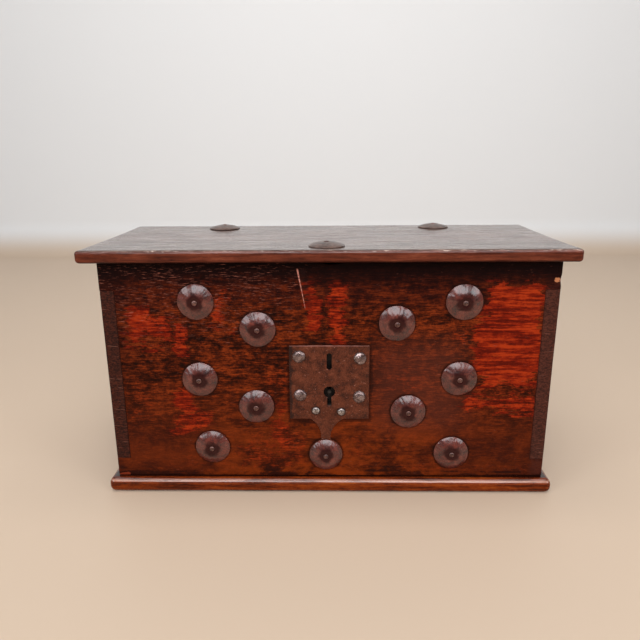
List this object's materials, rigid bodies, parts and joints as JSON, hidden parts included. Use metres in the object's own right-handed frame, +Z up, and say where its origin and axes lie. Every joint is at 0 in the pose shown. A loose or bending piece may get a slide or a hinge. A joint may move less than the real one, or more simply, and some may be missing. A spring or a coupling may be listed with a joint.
{
  "type": "wooden money box",
  "caption": "Antique plank money chest with hinged overhanging lid, projecting base board, domed iron bosses and an iron lock plate.",
  "frame": {"origin": "on the floor under the middle of the lid, the centre of the bounding box's underside", "axes": "+Z up, -Y out of the front that carries the lock plate, +X to the right when facing the front"},
  "size_m": [0.602, 0.25, 0.3342],
  "materials": {
    "varnished_wood": "dark red-brown hardwood under old worn varnish, rubbed to red-orange in places",
    "lid_wood": "dark brown hardwood, satin, with long grain and scuffed edges",
    "base_wood": "red-brown hardwood, glossy old varnish, worn edges",
    "boss_metal": "dark brown iron under varnish, hammered, satin",
    "boss_nail": "dark brown iron nail, satin",
    "plate_metal": "sheet iron under red-brown varnish, satin",
    "bright_rivet": "iron rubbed bright",
    "lock_iron": "black oily iron",
    "hinge_iron": "forged iron, dark brown patina"
  },
  "bodies": {
    "box": {"back_board": "varnished_wood", "back_strap_nails": "hinge_iron", "base_nails": "hinge_iron", "bottom_board": "base_wood", "front_board": "varnished_wood", "front_boss_01": "boss_metal", "front_boss_02": "boss_metal", "front_boss_03": "boss_metal", "front_boss_04": "boss_metal", "front_boss_05": "boss_metal", "front_boss_06": "boss_metal", "front_boss_07": "boss_metal", "front_boss_08": "boss_metal", "front_boss_09": "boss_metal", "front_boss_10": "boss_metal", "front_boss_11": "boss_metal", "front_boss_nails": "boss_nail", "hinge_left_back_strap": "hinge_iron", "hinge_left_pin": "hinge_iron", "hinge_right_back_strap": "hinge_iron", "hinge_right_pin": "hinge_iron", "left_side_board": "varnished_wood", "lock_bolt_keepers": "lock_iron", "lock_case": "lock_iron", "lock_drill_pin": "bright_rivet", "lock_plate": "plate_metal", "lock_plate_nails": "plate_metal", "lock_plate_rivets": "bright_rivet", "lock_spring": "lock_iron", "right_side_board": "varnished_wood", "tail_boss_nail": "boss_nail"},
    "lid": {"hinge_left_lid_strap": "hinge_iron", "hinge_right_lid_strap": "hinge_iron", "lid_board": "lid_wood", "lid_boss_front": "boss_metal", "lid_boss_rear_left": "boss_metal", "lid_boss_rear_right": "boss_metal", "lid_front_boss_nail": "boss_nail", "lid_rear_boss_nails": "boss_nail", "lid_strap_nails": "hinge_iron"},
    "bolt": {"lock_bolt": "lock_iron"}
  },
  "joints": [
    {"name": "lid_hinge", "type": "hinge", "parent": "box", "child": "lid", "pos_m": [0, 0.1144, 0.31], "axis": [-1, 0, 0], "range_deg": [0, 105]},
    {"name": "bolt_slide", "type": "slide", "parent": "box", "child": "bolt", "axis": [1, 0, 0], "range_m": [0, 0.012]}
  ]
}
